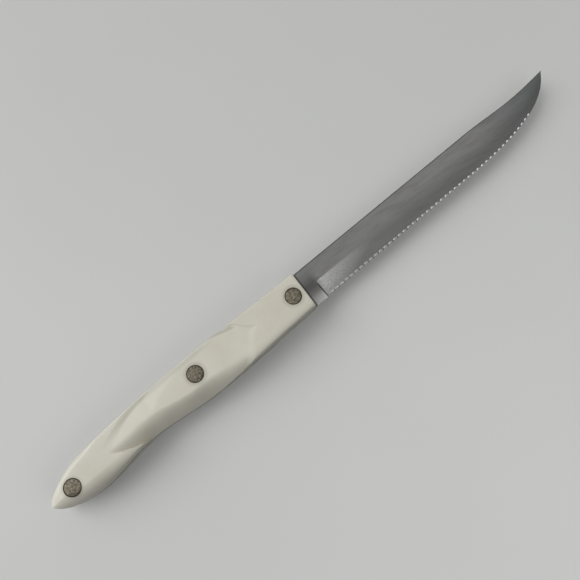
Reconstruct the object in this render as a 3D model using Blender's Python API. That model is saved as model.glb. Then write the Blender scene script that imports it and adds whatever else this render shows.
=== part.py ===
"""Kitchen utility knife: a serrated full-tang blade between two carved resin scales, held by three
two-piece rivets.  Metres, +Z up, lying on its side.  The world origin is under the middle of the knife.

The knife's own axes: x runs from the front of the handle towards the point, y towards the spine, and z
across the thickness, with z = 0 in the middle of the steel.
"""
import math

import bmesh
import bpy
import numpy as np

# Steel: blade and tang in one piece
BLADE_LENGTH = 0.1367          # front of the handle to the point
STEEL_THICKNESS = 0.0016
SPINE_RISE = 0.0087            # spine above the x axis
EDGE_DROP = 0.0062             # cutting edge below the x axis
POINT_RISE = 0.0091
POINT_THICKNESS = 0.0008
CLIP_LENGTH = 0.0447           # start of the dished spine to the point
CLIP_LOW_TO_POINT = 0.0207     # lowest place of the dish to the point
CLIP_DIP = 0.00085
CLIP_END_SLOPE = 0.10
BELLY_LENGTH = 0.0538          # end of the straight edge to the point
BELLY_FULLNESS = 0.86          # how long the belly stays low, as a share of its own length
POINT_TURN_LENGTH = 0.0027     # last turn of the belly into the point, along and up
POINT_TURN_RISE = 0.0015
HEEL_LENGTH = 0.0062           # unground steel ahead of the handle
PLUNGE_WIDTH = 0.0004          # step from the heel down to the ground bevel
GRIND_RISE = 0.0012            # top of the ground bevel above the x axis
HOLLOW_DEPTH = 0.00012         # how far the bevel is dished
EDGE_THICKNESS = 0.0002
EDGE_BEVEL = 0.0006            # height of the plain sharpening bevel
EDGE_BEVEL_THICKNESS = 0.0005

# Serrations: scoops with a ridge between neighbours
SERRATION_SETBACK = 0.0030     # end of the plunge to the first ridge
PLAIN_EDGE_LENGTH = 0.0190     # last ridge to the point, along the edge
SERRATION_PITCH = 0.0025
SERRATION_DEPTH = 0.0005       # scoop cut into the edge line
SERRATION_REACH = 0.0008       # scoop's slope up the side of the blade
SERRATION_FLANK = 0.0006       # ridge to the bottom of the scoop, along the edge

# Handle outline, front to butt
FRONT_TO_SWELL = 0.0465
SWELL_TO_WAIST = 0.0300
WAIST_TO_BULB = 0.0227
BULB_TO_BUTT = 0.0173
FRONT_STAND = 0.0004           # handle above the spine at the front
SWELL_TOP = 0.0101
BULB_TOP = 0.0077
BULB_TOP_SLOPE = 0.085
FRONT_DROP = 0.0063
SWELL_DROP = 0.0076
WAIST_DROP = 0.0050
BULB_DROP = 0.0076
BUTT_DROP = 0.0006
BUTT_FULLNESS = 1.6            # exponent of the butt's round end, 2 for an ellipse
FRONT_SLANT = 0.059            # lean of the handle's front edge, length per height
SLANT_RUN = 0.010              # the lean dies away over this length
TANG_RAMP = 0.006              # the tang climbs from the spine to the handle's top over this length

# Handle sides
HANDLE_THICKNESS = 0.0134
SIDE_WALL = 0.0014             # upright wall beside the tang, below the rounded edge
EDGE_ROUND = 0.0021            # width of the rounded edges from the front to the waist
BULB_EDGE_ROUND = 0.0036       # width of the rounded edges at the bulb
BUTT_ROUND = 0.0085            # length of the rounded butt end

# Carved grip: a flat with facets above and below it, between two arrow points
REAR_POINT_BEHIND_WAIST = 0.0134
REAR_POINT_RISE = 0.0009
REAR_ARROW_RUN = 0.0175        # arrow point to where its flank is one arrow height away
REAR_ARROW_SWEEP = 1.25        # 1 for straight flanks, more for hollow flanks, less for full ones
FRONT_POINT_SETBACK = 0.0225   # front of the handle to the front arrow point
FRONT_POINT_RISE = 0.0022
FRONT_ARROW_RUN = 0.0072
FRONT_ARROW_SWEEP = 0.75
ARROW_HEIGHT = 0.0073
ARROW_WALL = 0.0036            # length of the slope at an arrow's flank
FLAT_AHEAD_OF_WAIST = 0.0075   # rear end of the flat
FLAT_REAR_RISE = 0.0019
RIDGE_TURN = 3                 # how late the rear ridge rises towards the flat
FLAT_TOP_CLIMB = 0.0075        # the flat's upper border, from its rear end up to the swell
FLAT_TOP_TURN = 0.62
FLAT_TOP_FALL = 0.0026         # the same border, from the swell down to the front arrow point
FLAT_BOTTOM_SLANT = 0.27       # the flat's lower border, drop per length
REAR_TOP_SLOPE = 0.25          # facets' steepness, depth per width
FRONT_TOP_SLOPE = 2.6
BOTTOM_SLOPE = 0.42
FRONT_DIP = 0.0009             # the flat sinks this far towards the front arrow point
SCOOP_BACK = 0.0011            # how far the front facet pulls the scale's top edge back from the tang

# Rivets: a headed pin pressed into a headed tube
RIVET_HEAD_DIAMETER = 0.0064
RIVET_HEAD_HEIGHT = 0.0022
RIVET_SETBACK = 0.0001         # head below the side of the handle
PIN_DIAMETER = 0.0024
TUBE_WALL = 0.0006
FRONT_RIVET_MARGIN = 0.0013    # front of the handle to the rim of the rivet's hole
FRONT_RIVET_RISE = 0.0015
MIDDLE_RIVET_BEHIND_SWELL = 0.0035
MIDDLE_RIVET_RISE = 0.0025
BUTT_RIVET_MARGIN = 0.0069     # butt end to the rim of the rivet's hole
BUTT_RIVET_RISE = -0.0007

# Clearance between neighbouring pieces
FIT_GAP = 0.0003

# Mesh fineness
HANDLE_STATIONS = 84
PROFILE_POINTS = 21
TANG_STATIONS = 40
PLAIN_EDGE_STATIONS = 12
EDGE_CURVE_POINTS = 400
RIVET_SEGMENTS = 32
BUTT_END_SHARE = 0.9999        # the loft closes this far along the handle
SHARP_ANGLE = math.radians(35)
WELD_DISTANCE = 1e-7

# The points down each face of the steel, from spine to edge
FACE_POINTS = ("spine", "top of the bevel", "dish of the bevel", "shoulder", "edge")

# Worked out from the sizes above
HANDLE_LENGTH = FRONT_TO_SWELL + SWELL_TO_WAIST + WAIST_TO_BULB + BULB_TO_BUTT
SWELL_X = -FRONT_TO_SWELL
WAIST_X = SWELL_X - SWELL_TO_WAIST
BULB_X = WAIST_X - WAIST_TO_BULB
FRONT_TOP = SPINE_RISE + FRONT_STAND
HALF_STEEL = STEEL_THICKNESS / 2
SCALE_INNER = HALF_STEEL + FIT_GAP
SIDE_Z = HANDLE_THICKNESS / 2
HEAD_Z = SIDE_Z - RIVET_SETBACK
HEAD_SEAT_Z = HEAD_Z - RIVET_HEAD_HEIGHT
HOLE_RADIUS = RIVET_HEAD_DIAMETER / 2 + FIT_GAP
TUBE_BORE_RADIUS = PIN_DIAMETER / 2 + FIT_GAP
TUBE_RADIUS = TUBE_BORE_RADIUS + TUBE_WALL
SHANK_HOLE_RADIUS = TUBE_RADIUS + FIT_GAP

# Finishes: colour, roughness and metallic value
STEEL = ((0.30, 0.30, 0.30), 0.32, 1.0)
RESIN = ((0.62, 0.59, 0.50), 0.38, 0.0)
NICKEL_SILVER = ((0.33, 0.30, 0.25), 0.42, 1.0)


def eased(x, x0, y0, x1, y1):
    """Smooth step from (x0, y0) to (x1, y1), level at both ends."""
    share = np.clip((x - x0) / (x1 - x0), 0, 1)
    return y0 + (y1 - y0) * share * share * (3 - 2 * share)


def sloped(x, x0, y0, x1, y1, end_slope):
    """Smooth curve from (x0, y0), level there, to (x1, y1) at the given slope."""
    share = np.clip((x - x0) / (x1 - x0), 0, 1)
    tilt = share * share * (share - 1) * (x1 - x0) * end_slope
    return eased(x, x0, y0, x1, y1) + tilt


def butt_taper(x):
    """1 ahead of the bulb, falling to 0 at the round butt end."""
    share = np.clip((BULB_X - x) / BULB_TO_BUTT, 0, 1)
    return (1 - share ** BUTT_FULLNESS) ** (1 / BUTT_FULLNESS)


def handle_top(x):
    ahead = eased(x, 0, FRONT_TOP, SWELL_X, SWELL_TOP)
    middle = sloped(x, SWELL_X, SWELL_TOP, BULB_X, BULB_TOP, BULB_TOP_SLOPE)
    line = BULB_TOP + BULB_TOP_SLOPE * (x - BULB_X)
    butt = -BUTT_DROP + (line + BUTT_DROP) * butt_taper(x)
    return np.where(x > SWELL_X, ahead, np.where(x > BULB_X, middle, butt))


def handle_bottom(x):
    ahead = eased(x, 0, -FRONT_DROP, SWELL_X, -SWELL_DROP)
    grip = eased(x, SWELL_X, -SWELL_DROP, WAIST_X, -WAIST_DROP)
    rear = eased(x, WAIST_X, -WAIST_DROP, BULB_X, -BULB_DROP)
    butt = -BUTT_DROP + (BUTT_DROP - BULB_DROP) * butt_taper(x)
    behind = np.where(x > BULB_X, rear, butt)
    return np.where(x > SWELL_X, ahead, np.where(x > WAIST_X, grip, behind))


def handle_stations(count):
    """Places along the handle, front to butt, closing up where the butt turns round."""
    turn = np.linspace(0, math.pi / 2, count)
    even = np.linspace(0, 1, count)
    blend = (even + np.sin(turn)) / 2
    return -HANDLE_LENGTH * BUTT_END_SHARE * blend


def spine_y(x):
    clip_x = BLADE_LENGTH - CLIP_LENGTH
    low_x = BLADE_LENGTH - CLIP_LOW_TO_POINT
    low_y = SPINE_RISE - CLIP_DIP
    dish = eased(x, clip_x, SPINE_RISE, low_x, low_y)
    rise = sloped(x, low_x, low_y, BLADE_LENGTH, POINT_RISE, CLIP_END_SLOPE)
    return np.where(x > low_x, rise, dish)


def edge_curve():
    """Cutting edge from the plunge to the point: a straight run, then the belly as one cubic curve."""
    belly_x = BLADE_LENGTH - BELLY_LENGTH
    pull_x = belly_x + BELLY_FULLNESS * BELLY_LENGTH
    turn_x = BLADE_LENGTH - POINT_TURN_LENGTH
    turn_y = POINT_RISE - POINT_TURN_RISE
    share = np.linspace(0, 1, EDGE_CURVE_POINTS)
    weights = ((1 - share) ** 3, 3 * (1 - share) ** 2 * share, 3 * (1 - share) * share ** 2, share ** 3)
    along = (belly_x, pull_x, turn_x, BLADE_LENGTH)
    up = (-EDGE_DROP, -EDGE_DROP, turn_y, POINT_RISE)
    belly = np.stack([sum(w * p for w, p in zip(weights, axis)) for axis in (along, up)], axis=1)
    start = np.array([[HEEL_LENGTH + PLUNGE_WIDTH, -EDGE_DROP]])
    return np.concatenate([start, belly])


def serration_stations():
    """Distances along the edge and, for each, how deep the scoop is there: 0 on a ridge, 1 in a scoop."""
    curve = edge_curve()
    steps = np.hypot(*np.diff(curve, axis=0).T)
    lengths = np.concatenate([[0], np.cumsum(steps)])
    first = SERRATION_SETBACK
    gaps = int((lengths[-1] - PLAIN_EDGE_LENGTH - first) / SERRATION_PITCH)
    places = [(0.0, 0.0)]
    for number in range(gaps):
        ridge = first + number * SERRATION_PITCH
        places.append((ridge, 0.0))
        places.append((ridge + SERRATION_FLANK, 1.0))
        places.append((ridge + SERRATION_PITCH - SERRATION_FLANK, 1.0))
    last_ridge = first + gaps * SERRATION_PITCH
    for share in np.linspace(0, 1, PLAIN_EDGE_STATIONS, endpoint=False):
        places.append((last_ridge + (lengths[-1] - last_ridge) * share, 0.0))
    distance, scoop = np.array(places).T
    x = np.interp(distance, lengths, curve[:, 0])
    y = np.interp(distance, lengths, curve[:, 1])
    return x, y, scoop


def scale_top(x):
    """Upper outline of the scales: the handle's, pulled back where the grip's front facet cuts it."""
    outline = handle_top(x)
    pull = eased(x, SWELL_X, 0, -FRONT_POINT_SETBACK, SCOOP_BACK)
    return outline - pull * arrow_mask(x, outline)


def scale_side(x, y):
    """Height of the handle's side above the middle of the steel."""
    top = scale_top(x)
    bottom = handle_bottom(x)
    wall = SCALE_INNER + SIDE_WALL
    butt_share = np.clip((BUTT_ROUND - HANDLE_LENGTH - x) / BUTT_ROUND, 0, 1)
    crown = wall + (SIDE_Z - wall) * np.sqrt(1 - butt_share ** 2)
    reach = np.minimum(eased(x, WAIST_X, EDGE_ROUND, BULB_X, BULB_EDGE_ROUND), (top - bottom) / 2)
    inset = np.clip(np.minimum(top - y, y - bottom) / reach, 0, 1)
    rounded = wall + (crown - wall) * np.sqrt(1 - (1 - inset) ** 2)
    carved = np.clip(SIDE_Z - facet_depth(x, y), wall, rounded)
    return rounded + (carved - rounded) * arrow_mask(x, y)


def facet_depth(x, y):
    """How far the grip's flat and the facets above and below it lie below the handle's side."""
    rear_x = WAIST_X - REAR_POINT_BEHIND_WAIST
    flat_x = WAIST_X + FLAT_AHEAD_OF_WAIST
    front_x = -FRONT_POINT_SETBACK
    ridge_share = np.clip((x - rear_x) / (flat_x - rear_x), 0, 1)
    ridge = REAR_POINT_RISE + (FLAT_REAR_RISE - REAR_POINT_RISE) * ridge_share ** RIDGE_TURN
    climb = FLAT_TOP_CLIMB * np.clip((x - flat_x) / (SWELL_X - flat_x), 0, 1) ** FLAT_TOP_TURN
    flat_top = ridge + climb - eased(x, SWELL_X, 0, front_x, FLAT_TOP_FALL)
    flat_bottom = ridge - FLAT_BOTTOM_SLANT * np.clip(x - flat_x, 0, None)
    above = eased(x, SWELL_X, REAR_TOP_SLOPE, front_x, FRONT_TOP_SLOPE) * np.clip(y - flat_top, 0, None)
    below = BOTTOM_SLOPE * np.clip(flat_bottom - y, 0, None)
    return above + below + eased(x, SWELL_X, 0, front_x, FRONT_DIP)


def arrow_mask(x, y):
    """1 on the carved grip, 0 on the front block and the butt, sloping across the arrows' flanks."""
    rear_x = WAIST_X - REAR_POINT_BEHIND_WAIST
    rear_away = np.abs(y - REAR_POINT_RISE) / ARROW_HEIGHT
    front_away = np.abs(y - FRONT_POINT_RISE) / ARROW_HEIGHT
    from_rear = x - rear_x - REAR_ARROW_RUN * rear_away ** REAR_ARROW_SWEEP
    from_front = -FRONT_POINT_SETBACK - x - FRONT_ARROW_RUN * front_away ** FRONT_ARROW_SWEEP
    return eased(np.minimum(from_rear, from_front), 0, 0, ARROW_WALL, 1)


def finish(name, colour, roughness, metallic):
    material = bpy.data.materials.new(name + "_finish")
    material.use_nodes = True
    shader = material.node_tree.nodes["Principled BSDF"]
    shader.inputs["Base Color"].default_value = (*colour, 1)
    shader.inputs["Roughness"].default_value = roughness
    shader.inputs["Metallic"].default_value = metallic
    return material


def add_object(name, bm, parent, material=None):
    bmesh.ops.recalc_face_normals(bm, faces=bm.faces)
    mesh = bpy.data.meshes.new(name)
    bm.to_mesh(mesh)
    bm.free()
    mesh.shade_smooth()
    mesh.set_sharp_from_angle(angle=SHARP_ANGLE)
    obj = bpy.data.objects.new(name, mesh)
    bpy.context.scene.collection.objects.link(obj)
    obj.parent = parent
    if material:
        mesh.materials.append(material)
    return obj


def loft(rings, apex=None):
    """Closed body through rings of equal point counts, ending in a cap or in one point."""
    bm = bmesh.new()
    loops = [[bm.verts.new(point) for point in ring] for ring in rings]
    for near, far in zip(loops, loops[1:]):
        for index in range(len(near)):
            after = (index + 1) % len(near)
            bm.faces.new((near[index], near[after], far[after], far[index]))
    bm.faces.new(loops[0])
    if apex is None:
        bm.faces.new(loops[-1])
        return bm
    tip = bm.verts.new(apex)
    for index, vert in enumerate(loops[-1]):
        bm.faces.new((vert, loops[-1][(index + 1) % len(loops[-1])], tip))
    return bm


def turned(profile):
    """Closed body turned round z from (radius, height) points that start and end on the axis."""
    bm = bmesh.new()
    verts = [bm.verts.new((radius, 0, height)) for radius, height in profile]
    edges = [bm.edges.new(pair) for pair in zip(verts, verts[1:])]
    bmesh.ops.spin(bm, geom=verts + edges, cent=(0, 0, 0), axis=(0, 0, 1), angle=2 * math.pi,
                   steps=RIVET_SEGMENTS, use_merge=True)
    bmesh.ops.remove_doubles(bm, verts=bm.verts, dist=WELD_DISTANCE)
    return bm


def cut(obj, cutter):
    modifier = obj.modifiers.new(cutter.name, "BOOLEAN")
    modifier.operation = "DIFFERENCE"
    modifier.solver = "EXACT"
    modifier.object = cutter


def section(x, upper, lower):
    """One ring across the steel: down the upper face from the spine, then back up the lower face."""
    return [(x, y, z) for y, z in upper + lower[::-1]]


def slab(x, top, bottom):
    """Ring of full-thickness steel."""
    heights = np.linspace(top, bottom, len(FACE_POINTS))
    return section(x, [(y, HALF_STEEL) for y in heights], [(y, -HALF_STEEL) for y in heights])


def tang_and_heel_sections():
    """Rings from the butt to the plunge; the tang lies flush with the handle's outline."""
    ramp_top = handle_top(np.float64(-TANG_RAMP))
    rings = []
    for x in handle_stations(TANG_STATIONS)[::-1]:
        ramp = eased(x, 0, SPINE_RISE, -TANG_RAMP, ramp_top)
        rings.append(slab(x, ramp if x > -TANG_RAMP else handle_top(x), handle_bottom(x)))
    rings.append(slab(HEEL_LENGTH, SPINE_RISE, -FRONT_DROP))
    return rings


def ground_section(x, ridge_y, scoop):
    """Ring of ground blade; scoop is 0 on a ridge or the plain edge, 1 in a serration."""
    spine = float(spine_y(x))
    size = (spine - ridge_y) / (SPINE_RISE + EDGE_DROP)
    to_point = (BLADE_LENGTH - x) / (BLADE_LENGTH - HEEL_LENGTH - PLUNGE_WIDTH)
    half = (POINT_THICKNESS + (STEEL_THICKNESS - POINT_THICKNESS) * to_point) / 2
    taper = half / HALF_STEEL
    shoulder = EDGE_BEVEL_THICKNESS / 2 * taper
    grind = ridge_y + (GRIND_RISE + EDGE_DROP) * size
    shoulder_y = ridge_y + EDGE_BEVEL * size
    bottom = ridge_y + SERRATION_DEPTH * scoop * size
    edge = (bottom, EDGE_THICKNESS / 2 * taper)

    def on_bevel(y):
        share = (y - shoulder_y) / (grind - shoulder_y)
        dish = 4 * share * (1 - share) * HOLLOW_DEPTH * taper
        return y, shoulder + (half - shoulder) * share - dish

    def face(bevel_height):
        foot = bottom + bevel_height * size
        return [(spine, half), (grind, half), on_bevel((grind + foot) / 2), on_bevel(foot), edge]

    upper = face(EDGE_BEVEL + (SERRATION_REACH - EDGE_BEVEL) * scoop)
    lower = [(y, -z) for y, z in face(EDGE_BEVEL)]
    return section(x, upper, lower)


def make_blade(parent):
    ground = [ground_section(*place) for place in zip(*serration_stations())]
    bm = loft(tang_and_heel_sections() + ground, (BLADE_LENGTH, POINT_RISE, 0))
    return add_object("blade", bm, parent, finish("blade", *STEEL))


def make_scale(name, side, parent):
    """One handle half; side is 1 for the upper one and -1 for its mirror image below."""
    spread = -np.cos(np.linspace(0, math.pi, PROFILE_POINTS))
    rings = []
    for x in handle_stations(HANDLE_STATIONS):
        top = float(scale_top(x))
        bottom = float(handle_bottom(x))
        y = (top + bottom) / 2 + (top - bottom) / 2 * spread
        z = scale_side(np.full_like(y, x), y)
        lean = FRONT_SLANT * max(0, 1 + x / SLANT_RUN)
        ring = [(bottom, SCALE_INNER), *zip(y, z), (top, SCALE_INNER)]
        rings.append([(x + lean * (py - (top + bottom) / 2), py, side * pz) for py, pz in ring])
    return add_object(name, loft(rings), parent, finish(name, *RESIN))


def make_rivet(name, x, y, parent):
    """Headed pin from the upper side in a headed tube from the lower side, and the hole for both."""
    head = RIVET_HEAD_DIAMETER / 2
    pin = PIN_DIAMETER / 2
    bore_end = -HEAD_SEAT_Z
    male = [(0, HEAD_Z), (head, HEAD_Z), (head, HEAD_SEAT_Z), (pin, HEAD_SEAT_Z),
            (pin, bore_end + FIT_GAP), (0, bore_end + FIT_GAP)]
    tube_end = HEAD_SEAT_Z - FIT_GAP
    female = [(0, bore_end), (TUBE_BORE_RADIUS, bore_end), (TUBE_BORE_RADIUS, tube_end),
              (TUBE_RADIUS, tube_end), (TUBE_RADIUS, -HEAD_SEAT_Z), (head, -HEAD_SEAT_Z),
              (head, -HEAD_Z), (0, -HEAD_Z)]
    seat = HEAD_SEAT_Z - FIT_GAP
    hole = [(0, HANDLE_THICKNESS), (HOLE_RADIUS, HANDLE_THICKNESS), (HOLE_RADIUS, seat),
            (SHANK_HOLE_RADIUS, seat), (SHANK_HOLE_RADIUS, -seat), (HOLE_RADIUS, -seat),
            (HOLE_RADIUS, -HANDLE_THICKNESS), (0, -HANDLE_THICKNESS)]
    for half, profile in (("male", male), ("female", female)):
        title = f"{name}_{half}"
        piece = add_object(title, turned(profile), parent, finish(title, *NICKEL_SILVER))
        piece.location = (x, y, 0)
    cutter = add_object(name + "_hole", turned(hole), parent)
    cutter.location = (x, y, 0)
    cutter.hide_render = True
    cutter.display_type = "WIRE"
    return cutter


def build_knife():
    knife = bpy.data.objects.new("knife", None)
    bpy.context.scene.collection.objects.link(knife)
    highest = max(SWELL_TOP, SPINE_RISE, POINT_RISE, FRONT_TOP)
    lowest = max(SWELL_DROP, BULB_DROP, EDGE_DROP, FRONT_DROP)
    knife.location = ((HANDLE_LENGTH - BLADE_LENGTH) / 2, (lowest - highest) / 2, SIDE_Z)
    pieces = [make_blade(knife), make_scale("upper_scale", 1, knife), make_scale("lower_scale", -1, knife)]
    places = {
        "front_rivet": (-FRONT_RIVET_MARGIN - HOLE_RADIUS, FRONT_RIVET_RISE),
        "middle_rivet": (SWELL_X - MIDDLE_RIVET_BEHIND_SWELL, MIDDLE_RIVET_RISE),
        "butt_rivet": (BUTT_RIVET_MARGIN + HOLE_RADIUS - HANDLE_LENGTH, BUTT_RIVET_RISE),
    }
    for name, (x, y) in places.items():
        cutter = make_rivet(name, x, y, knife)
        for piece in pieces:
            cut(piece, cutter)


for old in list(bpy.data.objects):
    bpy.data.objects.remove(old, do_unlink=True)
build_knife()
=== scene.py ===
import math

import bmesh
import bpy
import numpy as np
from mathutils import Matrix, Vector


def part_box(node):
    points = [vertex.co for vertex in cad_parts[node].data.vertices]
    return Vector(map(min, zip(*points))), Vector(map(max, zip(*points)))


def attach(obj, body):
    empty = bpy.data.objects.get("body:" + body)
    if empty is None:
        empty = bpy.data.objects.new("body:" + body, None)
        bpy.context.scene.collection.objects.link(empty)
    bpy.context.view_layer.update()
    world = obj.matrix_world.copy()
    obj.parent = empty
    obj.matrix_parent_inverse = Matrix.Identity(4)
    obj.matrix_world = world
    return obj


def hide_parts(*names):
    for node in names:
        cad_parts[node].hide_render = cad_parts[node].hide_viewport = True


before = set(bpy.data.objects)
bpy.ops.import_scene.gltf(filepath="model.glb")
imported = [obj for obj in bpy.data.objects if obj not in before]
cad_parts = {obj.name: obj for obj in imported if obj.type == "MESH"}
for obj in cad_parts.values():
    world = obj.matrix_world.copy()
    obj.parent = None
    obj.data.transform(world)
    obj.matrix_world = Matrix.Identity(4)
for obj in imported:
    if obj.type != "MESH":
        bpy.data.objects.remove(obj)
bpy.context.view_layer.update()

# Blade
# One stamping of stainless steel: blade, unground heel, and a tang as long and as wide as the handle.
# The blade is hollow ground below its middle line, scooped into serrations from one face and brushed along
# its length; the tang is drilled for three rivets.  Its own axes: x to the point, y to the spine, z up.
BLADE_LENGTH = 0.1367
STEEL_THICKNESS = 0.0016
SPINE_RISE = 0.0087
SPINE_EASE = 0.00020
# Width of the strip along the spine that carries painted shade.
SPINE_SHADE_WIDTH = 0.00050
EDGE_DROP = 0.0062
POINT_RISE = 0.0091
POINT_THICKNESS = 0.0008
POINT_SIZE = 0.1
CLIP_LENGTH = 0.0447
CLIP_LOW_TO_POINT = 0.0207
CLIP_DIP = 0.00085
CLIP_END_SLOPE = 0.10
BELLY_LENGTH = 0.0538
BELLY_FULLNESS = 0.86
POINT_TURN_LENGTH = 0.0027
POINT_TURN_RISE = 0.0015
FRONT_SLANT = 0.059
HEEL_LENGTH = 0.0062
HEEL_ROLL_WIDTH = 0.0046
HEEL_ROLL_DEPTH = 0.00030
PLUNGE_WIDTH = 0.0004
GRIND_RISE = 0.0012
GRIND_LINE = 0.00008
SOFT_GRIND_LINE = 0.0030
SOFT_GRIND_X = 0.060
HOLLOW_DEPTH = 0.00012
HOLLOW_LENGTH = 0.045
EDGE_THICKNESS = 0.0001
BEVEL_THICKNESS = 0.0005
SERRATION_SETBACK = 0.0005
PLAIN_EDGE_LENGTH = 0.0190
SERRATION_PITCH = 0.0025
SERRATION_DEPTH = 0.0005
SERRATION_SLOPE = 0.7
SERRATION_FLATNESS = 2.2

FRONT_TO_SWELL = 0.0465
SWELL_TO_WAIST = 0.0300
WAIST_TO_BULB = 0.0227
BULB_TO_BUTT = 0.0173
FRONT_STAND = 0.0004
SWELL_TOP = 0.0101
BULB_TOP = 0.0077
BULB_TOP_SLOPE = 0.085
FRONT_DROP = 0.0063
SWELL_DROP = 0.0076
WAIST_DROP = 0.0050
BULB_DROP = 0.0076
BUTT_DROP = 0.0006
BUTT_FULLNESS = 1.6
LOW_BUTT_FULLNESS = 1.85
TANG_RAMP = 0.006
NOTCH_X = -0.0298
NOTCH_DEPTH = 0.0011
NOTCH_RUN = 0.0011
NOTCH_START_X = -0.0370
HANDLE_LENGTH = FRONT_TO_SWELL + SWELL_TO_WAIST + WAIST_TO_BULB + BULB_TO_BUTT
LAST_RING_X = -0.9999 * HANDLE_LENGTH
SWELL_X = -FRONT_TO_SWELL
WAIST_X = SWELL_X - SWELL_TO_WAIST
BULB_X = WAIST_X - WAIST_TO_BULB
HALF_STEEL = STEEL_THICKNESS / 2
PLUNGE_X = HEEL_LENGTH + PLUNGE_WIDTH

RIVET_HEAD_RADIUS = 0.0032
RIVET_HOLE_RADIUS = 0.00325
RIVET_TUBE_RADIUS = 0.0021
RIVET_SEAT_Z = 0.0044
RIVET_CLEARANCE = 0.0001
RIVETS = {
    "front_rivet": (-0.0048, 0.0015),
    "middle_rivet": (-0.0500, 0.0025),
    "butt_rivet": (-0.1061, -0.0007),
}

steel_low, steel_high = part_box("blade")
middle_z = (steel_low.z + steel_high.z) / 2
KNIFE_PLACE = Vector((steel_high.x - BLADE_LENGTH, steel_high.y - SWELL_TOP, middle_z))


def eased(x, x0, y0, x1, y1):
    """Smooth step from (x0, y0) to (x1, y1), level at both ends."""
    share = np.clip((x - x0) / (x1 - x0), 0, 1)
    return y0 + (y1 - y0) * share * share * (3 - 2 * share)


def sloped(x, x0, y0, x1, y1, end_slope):
    """Smooth curve from (x0, y0), level there, to (x1, y1) at the given slope."""
    share = np.clip((x - x0) / (x1 - x0), 0, 1)
    return eased(x, x0, y0, x1, y1) + share * share * (share - 1) * (x1 - x0) * end_slope


def butt_taper(x, fullness):
    share = np.clip((BULB_X - x) / BULB_TO_BUTT, 0, 1)
    return (1 - share ** fullness) ** (1 / fullness)


def handle_top(x):
    ahead = eased(x, 0, SPINE_RISE + FRONT_STAND, SWELL_X, SWELL_TOP)
    middle = sloped(x, SWELL_X, SWELL_TOP, BULB_X, BULB_TOP, BULB_TOP_SLOPE)
    line = BULB_TOP + BULB_TOP_SLOPE * (x - BULB_X)
    butt = -BUTT_DROP + (line + BUTT_DROP) * butt_taper(x, BUTT_FULLNESS)
    return np.where(x > SWELL_X, ahead, np.where(x > BULB_X, middle, butt))


def notch(x):
    """How far tang and scales step back together behind the front block, on the upper side."""
    return eased(x, NOTCH_START_X, 0, NOTCH_X, NOTCH_DEPTH) * eased(x, NOTCH_X - NOTCH_RUN, 1, NOTCH_X, 0)


def handle_bottom(x):
    ahead = eased(x, 0, -FRONT_DROP, SWELL_X, -SWELL_DROP)
    grip = eased(x, SWELL_X, -SWELL_DROP, WAIST_X, -WAIST_DROP)
    rear = eased(x, WAIST_X, -WAIST_DROP, BULB_X, -BULB_DROP)
    butt = -BUTT_DROP + (BUTT_DROP - BULB_DROP) * butt_taper(x, LOW_BUTT_FULLNESS)
    behind = np.where(x > BULB_X, rear, butt)
    return np.where(x > SWELL_X, ahead, np.where(x > WAIST_X, grip, behind))


def spine_y(x):
    low_x = BLADE_LENGTH - CLIP_LOW_TO_POINT
    low_y = SPINE_RISE - CLIP_DIP
    dish = eased(x, BLADE_LENGTH - CLIP_LENGTH, SPINE_RISE, low_x, low_y)
    rise = sloped(x, low_x, low_y, BLADE_LENGTH, POINT_RISE, CLIP_END_SLOPE)
    return np.where(x > low_x, rise, dish)


def cutting_edge(count=600):
    """Points along the edge from the plunge to the point: a straight run, then the belly's curve."""
    share = np.linspace(0, 1, count)[:, None]
    start = np.array([BLADE_LENGTH - BELLY_LENGTH, -EDGE_DROP])
    pull = start + (BELLY_FULLNESS * BELLY_LENGTH, 0)
    point = np.array([BLADE_LENGTH, POINT_RISE])
    turn = point - (POINT_TURN_LENGTH, POINT_TURN_RISE)
    rest = 1 - share
    first_half = rest ** 3 * start + 3 * rest ** 2 * share * pull
    belly = first_half + 3 * rest * share ** 2 * turn + share ** 3 * point
    return np.vstack([(PLUNGE_X, -EDGE_DROP), belly])


def edge_stations(steps_per_scoop=14, plain_steps=40):
    """Places x and y along the edge, and how deep in a scoop each is: 0 on a ridge, 1 in the middle."""
    curve = cutting_edge()
    lengths = np.append(0, np.cumsum(np.hypot(*np.diff(curve, axis=0).T)))
    scoops = int((lengths[-1] - PLAIN_EDGE_LENGTH - SERRATION_SETBACK) / SERRATION_PITCH)
    last_ridge = SERRATION_SETBACK + scoops * SERRATION_PITCH
    lead = np.linspace(0, SERRATION_SETBACK, 8, endpoint=False)
    serrated = np.linspace(SERRATION_SETBACK, last_ridge, scoops * steps_per_scoop, endpoint=False)
    plain = last_ridge + (lengths[-1] - last_ridge) * np.sin(np.linspace(0, math.pi / 2, plain_steps))[:-1]
    along = np.concatenate([lead, serrated, plain])
    phase = 2 * ((along - SERRATION_SETBACK) / SERRATION_PITCH % 1) - 1
    inside = (along > SERRATION_SETBACK) & (along < last_ridge)
    depth = np.where(inside, 1 - np.abs(phase) ** SERRATION_FLATNESS, 0)
    return np.interp(along, lengths, curve[:, 0]), np.interp(along, lengths, curve[:, 1]), depth


FLAT_ROWS = 5
BEVEL_ROWS = 12
SCOOP_ROWS = 5
GRIND_ROW = FLAT_ROWS + 1
FIRST_SCOOPED_ROW = GRIND_ROW + 1 + BEVEL_ROWS
SCOOPED_ROWS = range(FIRST_SCOOPED_ROW, FIRST_SCOOPED_ROW + SCOOP_ROWS - 1)
GROUND_ROWS = range(GRIND_ROW + 1, FIRST_SCOOPED_ROW + SCOOP_ROWS - 1)


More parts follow.
